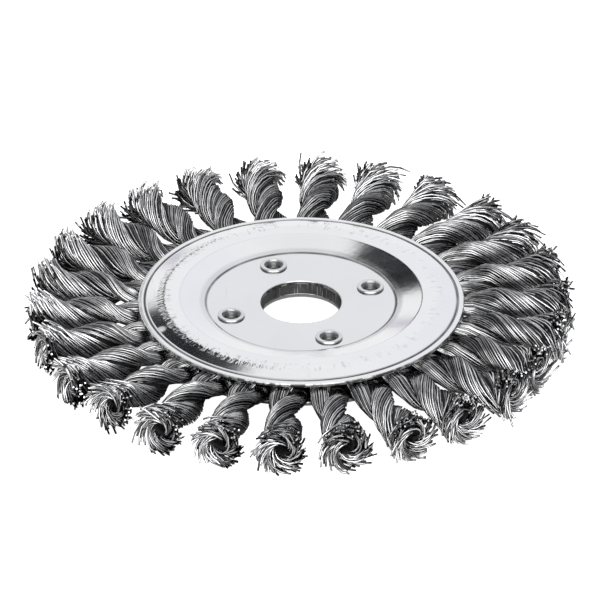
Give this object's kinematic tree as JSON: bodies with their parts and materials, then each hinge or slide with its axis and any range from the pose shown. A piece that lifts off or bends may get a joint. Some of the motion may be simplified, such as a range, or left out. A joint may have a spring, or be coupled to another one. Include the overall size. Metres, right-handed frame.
{
  "type": "wire wheel brush",
  "caption": "Flat wire wheel brush with twisted steel wire knots held between two riveted sheet-metal face plates round a central bore, for cleaning and deburring metal.",
  "frame": {"origin": "centre of the bore, in the wheel's middle plane", "axes": "+Z along the bore axis, out of the front face plate with the cupped rivet heads; the wheel lies flat on its knots"},
  "size_m": [0.1504, 0.1506, 0.0138],
  "materials": {
    "zinc_plate": "bright zinc plating, soft mirror",
    "core_steel": "raw sheared steel, dull",
    "rivet_steel": "bright zinc plating",
    "wire_steel": "bare drawn steel wire"
  },
  "bodies": {
    "root": {"front_plate": "zinc_plate", "rear_plate": "zinc_plate", "core_disc": "core_steel", "rivet_1": "rivet_steel", "rivet_2": "rivet_steel", "rivet_3": "rivet_steel", "rivet_4": "rivet_steel", "knot_01": "wire_steel", "knot_02": "wire_steel", "knot_03": "wire_steel", "knot_04": "wire_steel", "knot_05": "wire_steel", "knot_06": "wire_steel", "knot_07": "wire_steel", "knot_08": "wire_steel", "knot_09": "wire_steel", "knot_10": "wire_steel", "knot_11": "wire_steel", "knot_12": "wire_steel", "knot_13": "wire_steel", "knot_14": "wire_steel", "knot_15": "wire_steel", "knot_16": "wire_steel", "knot_17": "wire_steel", "knot_18": "wire_steel", "knot_19": "wire_steel", "knot_20": "wire_steel", "knot_21": "wire_steel", "knot_22": "wire_steel", "knot_23": "wire_steel", "knot_24": "wire_steel", "knot_25": "wire_steel", "knot_26": "wire_steel"}
  },
  "joints": []
}
